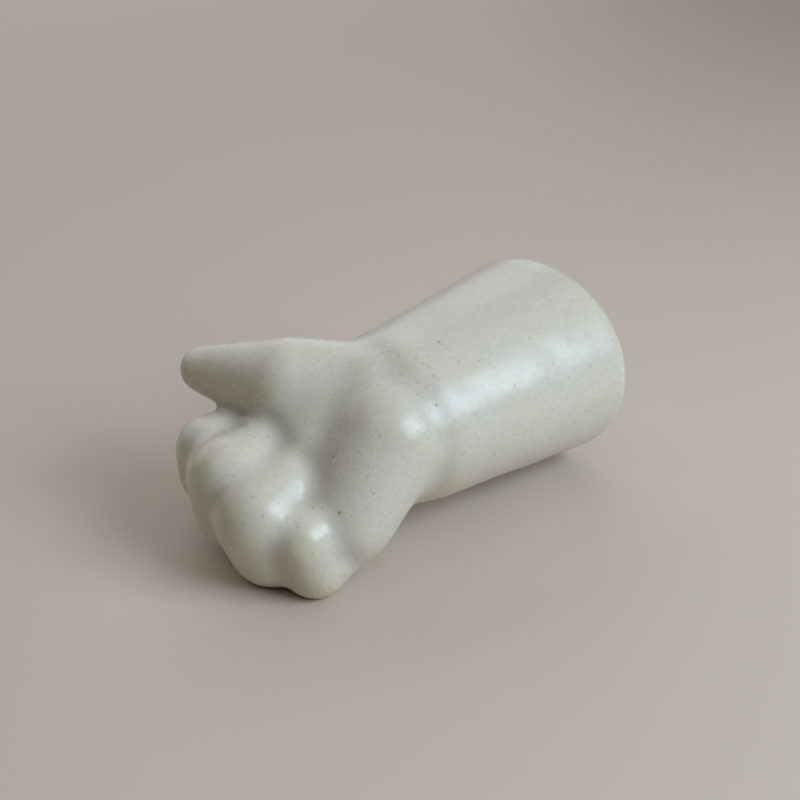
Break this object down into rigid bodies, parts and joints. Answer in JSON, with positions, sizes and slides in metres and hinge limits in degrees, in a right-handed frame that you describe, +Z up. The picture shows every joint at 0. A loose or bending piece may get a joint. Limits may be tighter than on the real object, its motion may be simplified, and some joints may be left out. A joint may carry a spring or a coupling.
{
  "type": "hand ring holder",
  "caption": "Glazed stoneware ring holder shaped as a chubby forearm and fist lying palm up, with curled fingers, a free thumb that rings slide onto, and a flared hollow stem with a flat foot.",
  "frame": {"origin": "under the middle of the holder's box, on the surface that it lies on", "axes": "+X from the fist to the foot, +Y towards the thumb, +Z up out of the palm"},
  "size_m": [0.0776, 0.0522, 0.038],
  "materials": {
    "stem_glaze": "satin gloss, fine dark specks",
    "hand_glaze": "satin gloss, fine dark specks",
    "finger_glaze": "satin gloss, warmer where the glaze is thin"
  },
  "bodies": {
    "root": {"forearm": "stem_glaze", "palm": "hand_glaze", "thumb": "hand_glaze", "index_finger": "finger_glaze", "middle_finger": "finger_glaze", "ring_finger": "finger_glaze", "little_finger": "finger_glaze"}
  },
  "joints": []
}
